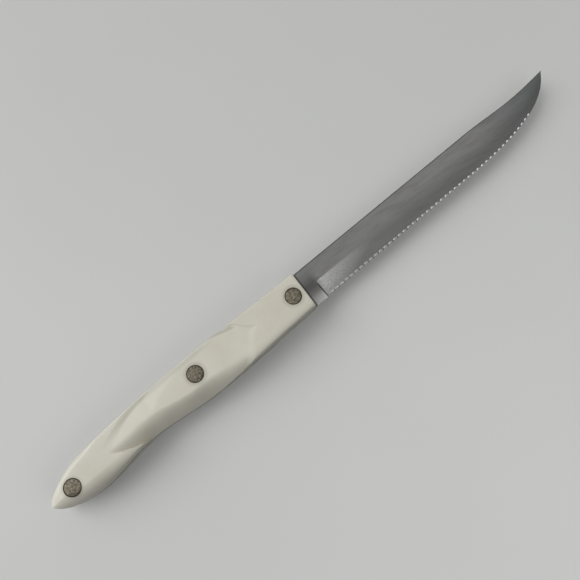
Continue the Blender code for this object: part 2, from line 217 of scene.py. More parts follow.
def ground_ring(x, ridge, scoop):
    """Section of the ground blade: down its upper face from the spine to the edge, and back up below."""
    spine = float(spine_y(x))
    size = (spine - ridge) / (SPINE_RISE + EDGE_DROP)
    to_point = (BLADE_LENGTH - x) / (BLADE_LENGTH - PLUNGE_X)
    thickness = POINT_THICKNESS + (STEEL_THICKNESS - POINT_THICKNESS) * to_point
    half = thickness / 2 * min(1, size / POINT_SIZE)
    taper = half / HALF_STEEL
    grind = ridge + (GRIND_RISE + EDGE_DROP) * size
    hollow = HOLLOW_DEPTH * taper * max(0, 1 - (x - PLUNGE_X) / HOLLOW_LENGTH)
    rim = BEVEL_THICKNESS / 2 * taper
    edge = EDGE_THICKNESS * taper
    bottom = ridge + SERRATION_DEPTH * scoop * size
    ease = SPINE_EASE * size
    line = size * eased(x, PLUNGE_X, GRIND_LINE, SOFT_GRIND_X, SOFT_GRIND_LINE)

    def bevel(y):
        share = (y - ridge) / (grind - ridge)
        return rim + (half - rim) * share - 4 * share * (1 - share) * hollow

    def under(y):
        return np.minimum(bevel(y), edge / 2 + SERRATION_SLOPE * (y - ridge))

    start = edge - under(bottom)
    foot = bottom
    for _ in range(20):
        foot = bottom + (bevel(foot) - start) / SERRATION_SLOPE
    flat = np.linspace(spine - SPINE_SHADE_WIDTH * size, grind + line, FLAT_ROWS - 1)
    ground = np.linspace(grind - line, foot, BEVEL_ROWS)
    scooped = np.linspace(foot, bottom, SCOOP_ROWS)[1:]
    y = np.concatenate([[spine, spine - ease], flat, [grind], ground, scooped])
    above = np.concatenate([[half - ease], np.full(FLAT_ROWS + 1, half), bevel(ground),
                            start + SERRATION_SLOPE * (scooped - bottom)])
    below = np.concatenate([[half - ease], np.full(FLAT_ROWS + 1, half), under(ground), under(scooped)])
    return y, above, below


def slab_ring(x, rows):
    """Section of unground steel with its corners eased and, ahead of the handle, its lower edge rolled."""
    y = np.array(rows)
    half = np.full_like(y, HALF_STEEL)
    half[[0, -1]] -= SPINE_EASE
    if x > 0:
        roll = np.clip((y[-1] + HEEL_ROLL_WIDTH - y) / HEEL_ROLL_WIDTH, 0, 1)
        half -= HEEL_ROLL_DEPTH * roll ** 2 * x / HEEL_LENGTH
    return y, half, half


def section(x, y, above, below):
    upper = np.stack([np.full_like(y, x), y, above], axis=1)
    lower = np.stack([np.full_like(y, x), y, -below], axis=1)[::-1]
    return np.vstack([upper, lower])


def skin(name, rings, tip=None):
    """Closed mesh through rings of equal point counts, in the knife's own axes."""
    rings = np.array(rings, float)
    index = np.arange(rings.shape[0] * rings.shape[1]).reshape(rings.shape[:2])
    beside = np.roll(index, -1, axis=1)
    sides = np.stack([index[:-1], beside[:-1], beside[1:], index[1:]], axis=-1).reshape(-1, 4)
    points = rings.reshape(-1, 3).tolist()
    faces = sides.tolist() + [index[0][::-1].tolist()]
    if tip is None:
        faces.append(index[-1].tolist())
    else:
        faces += [[a, b, len(points)] for a, b in zip(index[-1].tolist(), beside[-1].tolist())]
        points.append(tip)
    mesh = bpy.data.meshes.new(name)
    mesh.from_pydata(points, [], faces)
    piece = bpy.data.objects.new(name, mesh)
    bpy.context.scene.collection.objects.link(piece)
    piece.location = KNIFE_PLACE
    return piece


def mark(piece, label, values):
    """Keeps one number per mesh point, for the material to read."""
    kept = piece.data.attributes.new(label, "FLOAT", "POINT")
    kept.data.foreach_set("value", np.asarray(values, float))


def face_outwards(piece):
    """Turns the mesh right side out if its volume comes out negative."""
    mesh = piece.data
    corners = np.zeros(len(mesh.vertices) * 3, np.float32)
    mesh.vertices.foreach_get("co", corners)
    corners = corners.reshape(-1, 3).astype(float)
    mesh.calc_loop_triangles()
    triangles = np.zeros(len(mesh.loop_triangles) * 3, np.int32)
    mesh.loop_triangles.foreach_get("vertices", triangles)
    a, b, c = (corners[triangles.reshape(-1, 3)[:, k]] for k in range(3))
    if np.einsum("ij,ij->", a, np.cross(b, c)) < 0:
        mesh.flip_normals()


def round_ring(x, y, radius, height, count=64):
    turn = np.linspace(0, 2 * math.pi, count, endpoint=False)
    return np.stack([x + radius * np.cos(turn), y + radius * np.sin(turn), np.full(count, height)], axis=1)


def drill(piece, shank_radius, head_radius=None):
    """Cuts the three rivet holes right through a piece, wider where a head is to sit."""
    reach = 2 * RIVET_SEAT_Z
    for number, (x, y) in enumerate(RIVETS.values()):
        profile = [(shank_radius, -reach), (shank_radius, reach)]
        if head_radius:
            seat = RIVET_SEAT_Z - RIVET_CLEARANCE
            profile = [(head_radius, -reach), (head_radius, -seat), (shank_radius, -seat),
                       (shank_radius, seat), (head_radius, seat), (head_radius, reach)]
        bit = skin("bit", [round_ring(x, y, *point) for point in profile])
        face_outwards(bit)
        hole = piece.modifiers.new("hole", "BOOLEAN")
        hole.operation = "DIFFERENCE"
        hole.solver = "EXACT"
        hole.object = bit
        bpy.context.view_layer.update()
        drilled = piece.evaluated_get(bpy.context.evaluated_depsgraph_get())
        mesh = bpy.data.meshes.new_from_object(drilled)
        piece.modifiers.clear()
        piece.data = mesh
        bpy.data.objects.remove(bit)
    shell = bmesh.new()
    shell.from_mesh(piece.data)
    cut_faces = [face for face in shell.faces if len(face.verts) > 4]
    bmesh.ops.triangulate(shell, faces=cut_faces, ngon_method="BEAUTY")
    shell.to_mesh(piece.data)
    shell.free()


def shade(piece, material, sharp_angle):
    piece.data.shade_smooth()
    piece.data.set_sharp_from_angle(angle=math.radians(sharp_angle))
    piece.data.materials.clear()
    piece.data.materials.append(material)


def add_node(tree, kind, inputs=None, **settings):
    """New shader node; each input is a plain value or another node's output."""
    made = tree.nodes.new("ShaderNode" + kind)
    for key, value in settings.items():
        setattr(made, key, value)
    for key, value in (inputs or {}).items():
        if isinstance(value, bpy.types.NodeSocket):
            tree.links.new(value, made.inputs[key])
        else:
            made.inputs[key].default_value = value
    return made


def ranged(tree, value, low, high, start=0.0, end=1.0):
    """Stretches low..high of a value to start..end and holds it there."""
    made = add_node(tree, "MapRange", {"Value": value, "From Min": low, "From Max": high,
                                       "To Min": start, "To Max": end})
    return made.outputs["Result"]


def combined(tree, operation, first, *others):
    """Joins values by one operation, from left to right."""
    for other in others:
        first = add_node(tree, "Math", {0: first, 1: other}, operation=operation).outputs[0]
    return first


def distance_from(tree, value, middle=0.0):
    off = combined(tree, "SUBTRACT", value, middle)
    return add_node(tree, "Math", {0: off}, operation="ABSOLUTE").outputs[0]


def mixed(tree, share, first, second):
    made = add_node(tree, "Mix", {"Factor": share, "A": first, "B": second}, data_type="RGBA")
    return made.outputs["Result"]


def marked(tree, label):
    """The number that mark() kept at each mesh point."""
    return add_node(tree, "Attribute", attribute_name=label).outputs["Fac"]


def own_place(tree):
    """Where a point is in its piece's own axes: x, y and z."""
    return add_node(tree, "SeparateXYZ", {0: add_node(tree, "TexCoord").outputs["Object"]}).outputs


def new_effect(name, inputs, output):
    """Empty shader node group with float inputs and one value output."""
    tree = bpy.data.node_groups.new(name, "ShaderNodeTree")
    for label, value in inputs.items():
        socket = tree.interface.new_socket(label, in_out="INPUT", socket_type="NodeSocketFloat")
        socket.default_value = value
    tree.interface.new_socket(output, in_out="OUTPUT", socket_type="NodeSocketFloat")
    return tree, tree.nodes.new("NodeGroupInput"), tree.nodes.new("NodeGroupOutput")


def make_streaks():
    """Noise drawn out along x: brushing and scuffs.  Lengths in metres, turn in radians."""
    tree, given, result = new_effect("streaks", {"Length": 0.01, "Width": 0.0002, "Turn": 0.0}, "Streak")
    place = add_node(tree, "TexCoord").outputs["Object"]
    turned = add_node(tree, "VectorRotate", {"Vector": place, "Angle": given.outputs["Turn"]})
    along = combined(tree, "DIVIDE", 1.0, given.outputs["Length"])
    across = combined(tree, "DIVIDE", 1.0, given.outputs["Width"])
    scale = add_node(tree, "CombineXYZ", {"X": along, "Y": across, "Z": across})
    drawn = add_node(tree, "VectorMath", {0: turned.outputs[0], 1: scale.outputs[0]}, operation="MULTIPLY")
    noise = add_node(tree, "TexNoise", {"Vector": drawn.outputs[0], "Scale": 1.0, "Detail": 3.0,
                                        "Roughness": 0.6})
    tree.links.new(noise.outputs["Fac"], result.inputs["Streak"])
    return tree


def make_mottle():
    """Cloudy unevenness of the given patch size in metres."""
    tree, given, result = new_effect("mottle", {"Patch": 0.005, "Detail": 4.0}, "Cloud")
    place = add_node(tree, "TexCoord").outputs["Object"]
    scale = combined(tree, "DIVIDE", 1.0, given.outputs["Patch"])
    noise = add_node(tree, "TexNoise", {"Vector": place, "Scale": scale, "Detail": given.outputs["Detail"],
                                        "Roughness": 0.62})
    tree.links.new(noise.outputs["Fac"], result.inputs["Cloud"])
    return tree


def make_specks():
    """Small round spots, scattered: pits, pores and grit.  Spacing in metres, size as a share of it."""
    tree, given, result = new_effect("specks", {"Spacing": 0.001, "Size": 0.3, "Share": 0.4}, "Speck")
    place = add_node(tree, "TexCoord").outputs["Object"]
    scale = combined(tree, "DIVIDE", 1.0, given.outputs["Spacing"])
    cells = add_node(tree, "TexVoronoi", {"Vector": place, "Scale": scale, "Randomness": 1.0})
    chance = add_node(tree, "SeparateColor", {0: cells.outputs["Color"]}).outputs[0]
    present = combined(tree, "LESS_THAN", chance, given.outputs["Share"])
    closeness = combined(tree, "DIVIDE", cells.outputs["Distance"], given.outputs["Size"])
    spot = ranged(tree, closeness, 0.55, 1.0, 1.0, 0.0)
    tree.links.new(combined(tree, "MULTIPLY", present, spot), result.inputs["Speck"])
    return tree


streaks = make_streaks()
mottle = make_mottle()
specks = make_specks()


def new_material(name):
    material = bpy.data.materials.new(name)
    material.use_nodes = True
    return material, material.node_tree, material.node_tree.nodes["Principled BSDF"]


def place_effect(tree, effect, **values):
    inputs = {key.capitalize(): value for key, value in values.items()}
    return add_node(tree, "Group", inputs, node_tree=effect).outputs[0]


# Pairs of colours are the darker and the paler of a finish, pairs of places where it begins and ends.
HEEL_STEEL = ((0.42, 0.425, 0.415, 1), (0.565, 0.57, 0.555, 1))
# The paler pair ahead of the heel is painted reflection, standing in for how brightly the flats reflect the
# room.
PAINTED_REFLECTION_STEEL = ((0.48, 0.485, 0.475, 1), (0.65, 0.655, 0.64, 1))
SMUDGE = (0.40, 0.365, 0.335, 1)
# Darker, bluer steel towards the point.
POINT_TONE = (0.20, 0.213, 0.225, 1)
GROUND_STEEL = (0.16, 0.163, 0.158, 1)
FRESH_STEEL = (0.72, 0.72, 0.70, 1)
SCOOP_STEEL = (0.90, 0.90, 0.89, 1)
# Painted shade over the middle of the heel.
HEEL_SHADE = (0.15, 0.15, 0.145, 1)
# Painted highlight along the heel's lower edge.
HEEL_HIGHLIGHT = (0.95, 0.94, 0.93, 1)
SCRATCHED_STEEL = (0.66, 0.66, 0.65, 1)
# Painted shade on the steel, and how much of it shows.
PAINTED_STEEL_SHADE = (0.04, 0.039, 0.037, 1)
STEEL_SHADE_SHARE = 0.85
# Where the painted reflection pales the steel along the blade.
PAINTED_REFLECTION_X = (0.012, 0.062)
POINT_TONE_X = (0.092, 0.130)
FRESH_LOW_Y = -0.005
FRESH_REACH = (0.022, 0.035)
# Where the heel's painted shade and painted highlight lie.
HEEL_SHADE_X = (0.0055, 0.0085)
HEEL_SHADE_TOP_Y = (0.0075, 0.0020)
HEEL_SHADE_BOTTOM_Y = (-0.0042, 0.0)
HEEL_HIGHLIGHT_Y = (-0.0022, -0.0056)
# Places of painted shade on the steel.
TANG_EDGE_Z = (0.00050, 0.00058)
JOINT_SHADOW = (0.0011, 0.0014)
PLUNGE_FADE = 0.0025
GAP_SHADE_X = (0.030, 0.090)
SCOOP_FOCUS = 3
GAP_FOCUS = 0.7


def plain_steel(tree, x, tone, grit):
    """Colour of the steel as brushed: painted reflection makes it paler ahead of the heel; smudged, darker
    and bluer towards the point.
    """
    heel = mixed(tree, tone, *HEEL_STEEL)
    # Painted reflection: the steel turns paler ahead of the heel.
    colour = mixed(tree, ranged(tree, x, *PAINTED_REFLECTION_X), heel, mixed(tree, tone, *PAINTED_REFLECTION_STEEL))
    wiped = place_effect(tree, streaks, length=0.009, width=0.0014, turn=0.12)
    smudged = combined(tree, "MULTIPLY", ranged(tree, wiped, 0.45, 0.66, 0.0, 0.6),
                       ranged(tree, grit, 0.35, 0.60, 0.3, 1.0))
    colour = mixed(tree, smudged, colour, SMUDGE)
    # Darker, bluer steel towards the point.
    return mixed(tree, ranged(tree, x, *POINT_TONE_X, 0.0, 0.70), colour, POINT_TONE)


def ground_steel(tree, x, y, colour, grit):
    """The bevel: duller, but freshly ground in a wedge beside the heel, with bright scoops."""
    ground = marked(tree, "ground")
    colour = mixed(tree, combined(tree, "MULTIPLY", ground, 0.5), colour, GROUND_STEEL)
    fresh_end = ranged(tree, y, FRESH_LOW_Y, 0.0, *FRESH_REACH)
    near_heel = ranged(tree, x, PLUNGE_X, fresh_end, 1.0, 0.0)
    fresh = combined(tree, "MULTIPLY", ground, near_heel, ranged(tree, grit, 0.38, 0.62, 0.45, 1.0))
    colour = mixed(tree, fresh, colour, FRESH_STEEL)
    return mixed(tree, marked(tree, "scoop"), colour, SCOOP_STEEL)


def heel_steel(tree, x, y, colour):
    """The heel: painted shade over its middle beside the plunge, painted highlight along its lower edge."""
    # Painted shade over the heel's middle, fading out at the plunge.
    shaded_middle = combined(tree, "MULTIPLY", ranged(tree, y, *HEEL_SHADE_TOP_Y), ranged(tree, y, *HEEL_SHADE_BOTTOM_Y),
                       ranged(tree, x, *HEEL_SHADE_X, 0.75, 0.0))
    colour = mixed(tree, shaded_middle, colour, HEEL_SHADE)
    # Painted highlight along the heel's lower edge, streaked upright.
    on_heel = combined(tree, "LESS_THAN", x, HEEL_LENGTH)
    upright = place_effect(tree, streaks, length=0.003, width=0.00025, turn=1.45)
    streaked = combined(tree, "MULTIPLY", on_heel, ranged(tree, y, *HEEL_HIGHLIGHT_Y, 0.0, 0.55),
                      ranged(tree, upright, 0.35, 0.65, 0.3, 1.0))
    return mixed(tree, streaked, colour, HEEL_HIGHLIGHT)


def steel_shade_share(tree, x, y, z):
    """Share of painted shade: on the tang's edge, a shadow line at the handle, in the plunge, along the
    spine, between scoops.
    """
    # Painted shade on the tang's edge face, standing in for the dark table it reflects.
    edge_face = ranged(tree, distance_from(tree, z), *TANG_EDGE_Z, 1.0, 0.0)
    tang = combined(tree, "MULTIPLY", edge_face, combined(tree, "LESS_THAN", x, 0.0))
    # Painted shadow line on the steel just in front of the handle.
    handle_front = combined(tree, "MULTIPLY", y, FRONT_SLANT)
    joint_shadow = ranged(tree, distance_from(tree, x, handle_front), *JOINT_SHADOW, 0.9, 0.0)
    # Painted shade in the plunge's step.
    from_plunge = distance_from(tree, x, HEEL_LENGTH)
    plunge = combined(tree, "MULTIPLY", ranged(tree, from_plunge, PLUNGE_WIDTH / 2, PLUNGE_WIDTH, 0.8, 0.0),
                      ranged(tree, y, GRIND_RISE, GRIND_RISE - PLUNGE_FADE))
    # Painted shade in the gaps between scoops, strongest towards the heel.
    gap_shade = combined(tree, "MULTIPLY", marked(tree, "gap_shade"), ranged(tree, x, *GAP_SHADE_X, 1.0, 0.4))
    # The spine mark adds painted shade along the spine.
    worst = combined(tree, "MAXIMUM", tang, joint_shadow, plunge, marked(tree, "spine"), gap_shade)
    return combined(tree, "MULTIPLY", worst, STEEL_SHADE_SHARE)


def satin_steel():
    material, tree, shader = new_material("satin_steel")
    x, y, z = own_place(tree)
    brushing = place_effect(tree, streaks, length=0.012, width=0.00016, turn=0.04)
    scratches = place_effect(tree, streaks, length=0.006, width=0.00009, turn=-0.22)
    haze = place_effect(tree, streaks, length=0.02, width=0.004, turn=0.1)
    grit = place_effect(tree, mottle, patch=0.0006, detail=3.0)
    lone = ranged(tree, scratches, 0.66, 0.74)
    tone = combined(tree, "ADD", ranged(tree, brushing, 0.3, 0.7, 0.0, 0.45),
                    ranged(tree, haze, 0.3, 0.7, 0.0, 0.55))
    colour = plain_steel(tree, x, tone, grit)
    colour = ground_steel(tree, x, y, colour, grit)
    colour = heel_steel(tree, x, y, colour)
    colour = mixed(tree, combined(tree, "MULTIPLY", lone, 0.5), colour, SCRATCHED_STEEL)
    # Painted shade mixed over the steel.
    colour = mixed(tree, steel_shade_share(tree, x, y, z), colour, PAINTED_STEEL_SHADE)
    tree.links.new(colour, shader.inputs["Base Color"])
    polished = combined(tree, "MULTIPLY", marked(tree, "scoop"), 0.06)
    rough = combined(tree, "SUBTRACT", ranged(tree, tone, 0.0, 1.0, 0.40, 0.28), polished)
    tree.links.new(rough, shader.inputs["Roughness"])
    shader.inputs["Metallic"].default_value = 1.0
    height = combined(tree, "SUBTRACT", brushing, combined(tree, "MULTIPLY", lone, 0.6))
    bump = add_node(tree, "Bump", {"Strength": 0.12, "Distance": 0.00004, "Height": height})
    tree.links.new(bump.outputs[0], shader.inputs["Normal"])
    return material


def tang_top(x):
    """Upper edge of the tang: runs up from the spine under the handle's front, then with the handle."""
    if x < -TANG_RAMP:
        return handle_top(x) - notch(x)
    return eased(x, 0, SPINE_RISE, -TANG_RAMP, handle_top(-TANG_RAMP))


def unground_rings(plunge_rows):
    """Sections of the tang from the butt to the handle's front, then of the heel up to the plunge."""
    turn = np.linspace(0, math.pi / 2, 60)
    tang_x = LAST_RING_X * (np.linspace(0, 1, 60) + np.sin(turn)) / 2
    tang_x = np.sort(np.append(tang_x, np.linspace(NOTCH_START_X, NOTCH_X, 16)))
    down = (plunge_rows - plunge_rows[0]) / (plunge_rows[-1] - plunge_rows[0])
    rings = []
    for x in tang_x:
        rows = tang_top(x) + (handle_bottom(x) - tang_top(x)) * down
        rings.append(section(x, *slab_ring(x, rows)))
    heel_rows = np.append(plunge_rows[:-1], -FRONT_DROP)
    for share in np.linspace(0, 1, 9)[1:]:
        x = HEEL_LENGTH * share
        rings.append(section(x, *slab_ring(x, rows + (heel_rows - rows) * share)))
    return rings


def mark_blade(blade, shape, ground_from, depth):
    """Marks spine, bevel, scoops and the ridges between them, spine and ridges for painted shade; depth is
    how deep in a scoop each ring is.
    """
    rings, rows = shape
    ring = np.repeat(np.arange(rings), rows)
    row = np.tile(np.arange(rows), rings)
    scoops = np.flatnonzero(depth)
    serrated = (ring >= scoops[0]) & (ring <= scoops[-1])
    depth = np.repeat(depth, rows)
    ground = (np.isin(row, GROUND_ROWS) + (row == GRIND_ROW) / 2) * (ring >= ground_from)
    scooped = np.isin(row, SCOOPED_ROWS)
    marks = {"spine": np.isin(row, (0, 1, rows - 2, rows - 1)), "ground": ground,
             "scoop": scooped * depth ** SCOOP_FOCUS, "gap_shade": scooped * serrated * (1 - depth) ** GAP_FOCUS}
    for label, values in marks.items():
        mark(blade, label, np.append(values, 0))


def make_blade():
    stations = list(zip(*edge_stations()))
    rings = unground_rings(ground_ring(*stations[0])[0])
    ground_from = len(rings)
    rings += [section(station[0], *ground_ring(*station)) for station in stations]
    blade = skin("blade_steel", rings, (BLADE_LENGTH, POINT_RISE, 0))
    depth = np.append(np.zeros(ground_from), [station[2] for station in stations])
    mark_blade(blade, (len(rings), len(rings[0])), ground_from, depth)
    face_outwards(blade)
    drill(blade, RIVET_TUBE_RADIUS + RIVET_CLEARANCE)
    shade(blade, satin_steel(), sharp_angle=28)
    return blade


blade = make_blade()
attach(blade, "root")
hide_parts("blade")

# Handle scales
# Two moulded halves of cream resin, one the mirror of the other, clamped flush against the tang.
# Each is carved into a grip: a flat with facets above and below it, between two arrow-shaped ends that
# stand proud; the edges are rounded and polished, with painted shade along the top, on the front facet,
# round the rivets and over the butt.
SIDE_Z = 0.0067
SEAM = 0.00002
SEAM_EASE = 0.00012
WALL_TOP = 0.0028
FRONT_WALL_TOP = 0.0059
BUTT_WALL_TOP = 0.0016
BUTT_WALL_BEHIND_BULB = 0.008
CARVED_WALL_TOP = 0.0014
TOP_DRAFT = 0.0009
BULB_TOP_DRAFT = 0.0018
TOP_ROUND = 0.0005
BULB_TOP_ROUND = 0.0008
BOTTOM_ROUND = 0.0028
BULB_BOTTOM_ROUND = 0.0052
BUTT_ROUND = 0.0085
FRONT_ROUND = 0.0005
SLANT_RUN = 0.010
REAR_POINT_BEHIND_WAIST = 0.0134
REAR_POINT_RISE = 0.0009
REAR_ARROW_RUN = 0.0199
REAR_ARROW_SWEEP = 2.0
REAR_TOP_RUN = 0.0165
REAR_TOP_SWEEP = 1.8
FRONT_POINT_SETBACK = 0.0225
FRONT_POINT_RISE = 0.0022
FRONT_ARROW_RUN = 0.0072
FRONT_ARROW_SWEEP = 0.75
ARROW_HEIGHT = 0.0073
ARROW_WALL = 0.0011
REAR_WALL = 0.0036
REAR_WALL_FLARE = 1.8
FLARE_Y = (0.0060, 0.0085)
FRONT_WALL = 0.0020
FLAT_AHEAD_OF_WAIST = 0.0065
RIDGE = ((-0.0900, 0.0010), (-0.0800, 0.0012), (-0.0720, 0.0016), (-0.0660, 0.0008),
         (-0.0600, -0.0006), (-0.0540, -0.0014), (-0.0460, -0.0017), (-0.0400, -0.0023),
         (-0.0340, -0.0034), (-0.0240, -0.0046))
FLAT_TOP_CLIMB = 0.0080
FLAT_TOP_TURN = 0.62
FLAT_TOP_START = 0.08
FLAT_TOP_FALL = 0.0026
FALL_FROM_X = -0.040
FALL_TO_X = -0.028
REAR_TOP_SLOPE = 0.07
FRONT_TOP_SLOPE = 0.5
FRONT_TOP_RUN = 0.012
BOTTOM_SLOPE = 0.75
ROLL_SLOPE = 0.44
REAR_ROLL_SLOPE = 0.56
FRONT_ROLL_SLOPE = 0.26
CRISP_FROM_X = -0.062
CRISP_TO_X = -0.054
ROLL_FROM_X = -0.038
BOTTOM_TURN = 1.3
FRONT_DIP = 0.00014
CREASE = 0.0003
SOFT_RIDGE = 0.0010
SOFT_ROLL = 0.0060
RIM_WIDTH = 0.0024
# Widths and shares of painted shade: along the upper edge, in a band inside it, on the front facet, along
# the front arrow's line.
RIM_SHADE = 0.0016
BAND_SHADE = 0.0026
BAND_FADE = 0.0006
BAND_SHARE = 0.45
FACET_SHADE = 0.0005
LINE_SHADE = 0.0007
LINE_SHARE = 0.35

REAR_POINT_X = WAIST_X - REAR_POINT_BEHIND_WAIST
FLAT_X = WAIST_X + FLAT_AHEAD_OF_WAIST
FRONT_POINT_X = -FRONT_POINT_SETBACK


def beyond(value, softness=CREASE):
    """How far a value is above zero, with the corner at zero softened over the given width."""
    return (value + np.sqrt(value ** 2 + softness ** 2)) / 2


def through(x, places):
    """Smooth curve through the given (x, y) places."""
    at, height = np.array(places).T
    slope = np.gradient(height, at)
    k = np.clip(np.searchsorted(at, x) - 1, 0, len(at) - 2)
    run = at[k + 1] - at[k]
    share = np.clip((x - at[k]) / run, 0, 1)
    rest = 1 - share
    start = rest ** 2 * ((1 + 2 * share) * height[k] + share * run * slope[k])
    return start + share ** 2 * ((3 - 2 * share) * height[k + 1] - rest * run * slope[k + 1])


def behind_front_arrow(x, y):
    """How far a place lies behind the line of the front arrow."""
    away = np.abs(y - FRONT_POINT_RISE) / ARROW_HEIGHT
    return FRONT_POINT_X - x - FRONT_ARROW_RUN * away ** FRONT_ARROW_SWEEP


def arrow_mask(x, y):
    """1 on the carved grip, 0 on the front block and the butt, sloping across the arrows' flanks."""
    rear_away = np.abs(y - REAR_POINT_RISE) / ARROW_HEIGHT
    upper = REAR_TOP_RUN * rear_away ** REAR_TOP_SWEEP
    lower = REAR_ARROW_RUN * rear_away ** REAR_ARROW_SWEEP
    from_rear = x - REAR_POINT_X - np.where(y > REAR_POINT_RISE, upper, lower)
    spread = eased(y, REAR_POINT_RISE, 0, REAR_POINT_RISE + ARROW_WALL, REAR_WALL)
    spread = spread * eased(y, FLARE_Y[0], 1, FLARE_Y[1], REAR_WALL_FLARE)
    rear = eased(from_rear, -spread, 0, ARROW_WALL + spread, 1)
    spread = eased(y, FRONT_POINT_RISE, FRONT_WALL, FRONT_POINT_RISE + ARROW_WALL, 0)
    return np.minimum(rear, eased(behind_front_arrow(x, y), -spread, 0, ARROW_WALL + spread, 1))


def flat_top(x):
    """Upper border of the grip's flat: climbs from the ridge to the swell, falls to the front arrow."""
    ahead = np.clip((x - FLAT_X) / (SWELL_X - FLAT_X), 0, 1)
    climb = FLAT_TOP_CLIMB * (ahead ** 2 / (ahead + FLAT_TOP_START)) ** FLAT_TOP_TURN
    drop = eased(x, FALL_FROM_X, 0, FALL_TO_X, FLAT_TOP_FALL)
    return through(np.minimum(x, FLAT_X), RIDGE) + climb - drop


def fall(past, width, slope, softness):
    """Depth of the lower facet past its ridge: eased in, turning down to the edge, not below the wall."""
    most = width ** 2 / (width + softness) * (1 + BOTTOM_TURN)
    turned = past ** 2 / (past + softness) * (1 + BOTTOM_TURN * past / width)
    return np.minimum(slope, (SIDE_Z - CARVED_WALL_TOP) / most) * turned


def facet_depth(x, y):
    """How far the grip's flat and the facets above and below it lie below the handle's side."""
    ridge = through(x, RIDGE)
    top_slope = eased(x, SWELL_X, REAR_TOP_SLOPE, SWELL_X + FRONT_TOP_RUN, FRONT_TOP_SLOPE)
    above = top_slope * beyond(y - flat_top(x))
    past = np.clip(ridge - y, 0, None)
    width = ridge - handle_bottom(x)
    crisp = eased(x, WAIST_X, 0, CRISP_FROM_X, 1) * eased(x, CRISP_TO_X, 1, ROLL_FROM_X, 0)
    rear_slope = eased(x, WAIST_X, REAR_ROLL_SLOPE, CRISP_FROM_X, ROLL_SLOPE)
    front_slope = eased(x, ROLL_FROM_X, REAR_ROLL_SLOPE, FRONT_POINT_X, FRONT_ROLL_SLOPE)
    rolled = fall(past, width, np.minimum(rear_slope, front_slope), SOFT_ROLL)
    below = crisp * fall(past, width, BOTTOM_SLOPE, SOFT_RIDGE) + (1 - crisp) * rolled
    return above + below + eased(x, SWELL_X, 0, FRONT_POINT_X, FRONT_DIP)


def scale_side(x, y):
    """Height of the handle's side above the middle of the steel."""
    top = handle_top(x) - notch(x)
    bottom = handle_bottom(x)
    butt_share = np.clip((BUTT_ROUND - HANDLE_LENGTH - x) / BUTT_ROUND, 0, 1)
    crown = WALL_TOP + (SIDE_Z - WALL_TOP) * np.sqrt(1 - butt_share ** 2)
    middle = (top - bottom) / 2
    top_reach = np.minimum(eased(x, REAR_POINT_X, TOP_DRAFT, BULB_X, BULB_TOP_DRAFT), middle)
    bottom_reach = np.minimum(eased(x, WAIST_X, BOTTOM_ROUND, BULB_X, BULB_BOTTOM_ROUND), middle)
    top_wall = WALL_TOP + (crown - WALL_TOP) * (top - y) / top_reach
    inset_bottom = np.clip((y - bottom) / bottom_reach, 0, 1)
    low_wall = eased(x, WAIST_X, FRONT_WALL_TOP, BULB_X - BUTT_WALL_BEHIND_BULB, BUTT_WALL_TOP)
    low_wall = np.minimum(low_wall, crown)
    rounded = crown - beyond(crown - top_wall, eased(x, REAR_POINT_X, TOP_ROUND, BULB_X, BULB_TOP_ROUND))
    rounded = np.minimum(rounded, low_wall + (crown - low_wall) * np.sqrt(1 - (1 - inset_bottom) ** 2))
    carved = np.clip(SIDE_Z - facet_depth(x, y), CARVED_WALL_TOP, None)
    carved = rounded - beyond(rounded - carved, CREASE / 4)
    side = rounded + (carved - rounded) * arrow_mask(x, y)
    front_share = np.clip(1 + x / FRONT_ROUND, 0, 1)
    return side - FRONT_ROUND * (1 - np.sqrt(1 - front_share ** 2))


def handle_shade_marks(x, y):
    """Share of painted shade: along the upper edge, in a band inside it, on the front facet, in the front
    arrow's line.
    """
    inside = handle_top(x) - notch(x) - y
    # Painted shade along the upper edge.
    rim = np.clip(1 - inside / RIM_SHADE, 0, 1)
    # Painted shade in a band inside the upper edge, over the grip.
    band = BAND_SHARE * eased(inside, BAND_SHADE - BAND_FADE, 1, BAND_SHADE + BAND_FADE, 0)
    band = band * eased(x, FLAT_X - BAND_SHADE, 0, FLAT_X, 1) * eased(x, SWELL_X, 1, NOTCH_START_X, 0)
    # Painted shade on the front facet behind the front block.
    facet = eased(y - flat_top(x), -FACET_SHADE, 0, FACET_SHADE, 1) * arrow_mask(x, y)
    facet = facet * eased(x, SWELL_X, 0, NOTCH_START_X, 1)
    # Painted shade along the front arrow's upper line.
    line = np.clip(1 - np.abs(behind_front_arrow(x, y)) / LINE_SHADE, 0, 1) * (y > FRONT_POINT_RISE)
    return np.max([rim, band, facet, LINE_SHARE * line], axis=0)


BLOCK_END_X = -0.020
FRONT_ARROW_END_X = -0.034
GRIP_END_X = -0.073
REAR_ARROW_END_X = -0.092


def scale_stations():
    """Places along a scale, front to butt: closest at the arrows' flanks and the two ends."""
    front = -FRONT_ROUND * (1 - np.cos(np.linspace(0, math.pi / 2, 5)))
    block = np.linspace(-FRONT_ROUND, BLOCK_END_X, 34)[1:]
    front_arrow = np.linspace(BLOCK_END_X, FRONT_ARROW_END_X, 64)[1:]
    grip = np.linspace(FRONT_ARROW_END_X, GRIP_END_X, 70)[1:]
    rear_arrow = np.linspace(GRIP_END_X, REAR_ARROW_END_X, 84)[1:]
    turn = np.sin(np.linspace(0, math.pi / 2, 60))[1:]
    butt = REAR_ARROW_END_X + (LAST_RING_X - REAR_ARROW_END_X) * turn
    return np.concatenate([front, block, front_arrow, grip, rear_arrow, butt])


RESIN = ((0.53, 0.51, 0.43, 1), (0.57, 0.55, 0.475, 1))
PORE = (0.36, 0.31, 0.22, 1)
SEAM_GRIME = (0.10, 0.085, 0.06, 1)
